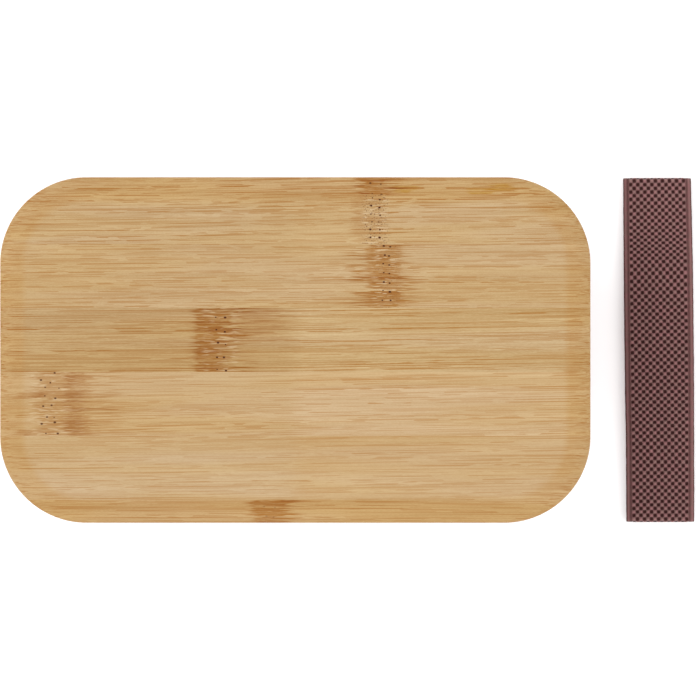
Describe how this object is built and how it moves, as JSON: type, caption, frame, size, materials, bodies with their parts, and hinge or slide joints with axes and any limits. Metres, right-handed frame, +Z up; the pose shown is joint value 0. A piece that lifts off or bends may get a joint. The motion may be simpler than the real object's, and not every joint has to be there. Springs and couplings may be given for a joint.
{
  "type": "bento lunch box",
  "caption": "Rounded rectangular lunch box: moulded plastic container, bamboo lid with a silicone seal, lift-out divider, and a flat elastic loop lying beside it.",
  "frame": {"origin": "centre of the container's flat base, on the surface that the box stands on", "axes": "+X along the box, from the container towards the elastic band that lies beside it; +Y across the box, towards the lid's wide edge strip; +Z up"},
  "size_m": [0.242, 0.1204, 0.065],
  "materials": {
    "container": "dusty mauve moulded polypropylene, fine satin grain",
    "divider": "dusty mauve moulded polypropylene, fine satin grain",
    "bamboo_upper": "sanded and lightly oiled plain-pressed bamboo, grain along the lid",
    "bamboo_lower": "sanded plain-pressed bamboo, grain along the lid",
    "seal": "milky silicone",
    "elastic": "coarse woven mauve-brown elastic",
    "thread": "spun polyester thread"
  },
  "bodies": {
    "container": {"container": "container"},
    "lid": {"lid_upper_strip_1": "bamboo_upper", "lid_upper_strip_2": "bamboo_upper", "lid_upper_strip_3": "bamboo_upper", "lid_upper_strip_4": "bamboo_upper", "lid_upper_strip_5": "bamboo_upper", "lid_upper_strip_6": "bamboo_upper", "lid_lower_strip_1": "bamboo_lower", "lid_lower_strip_2": "bamboo_lower", "lid_lower_strip_3": "bamboo_lower", "lid_lower_strip_4": "bamboo_lower", "lid_lower_strip_5": "bamboo_lower", "lid_seal": "seal"},
    "divider": {"divider": "divider"},
    "band": {"elastic_band": "elastic", "band_stitching": "thread"}
  },
  "joints": [
    {"name": "lid_lift", "type": "slide", "parent": "container", "child": "lid", "axis": [0, 0, 1], "range_m": [0, 0.16]},
    {"name": "divider_lift", "type": "slide", "parent": "container", "child": "divider", "axis": [0, 0, 1], "range_m": [0, 0.072]},
    {"name": "band_lift", "type": "slide", "parent": "container", "child": "band", "axis": [0, 0, 1], "range_m": [0, 0.1]}
  ],
  "couplings": [
    {"joint": "divider_lift", "follows": "lid_lift", "ratio": 0.45}
  ]
}
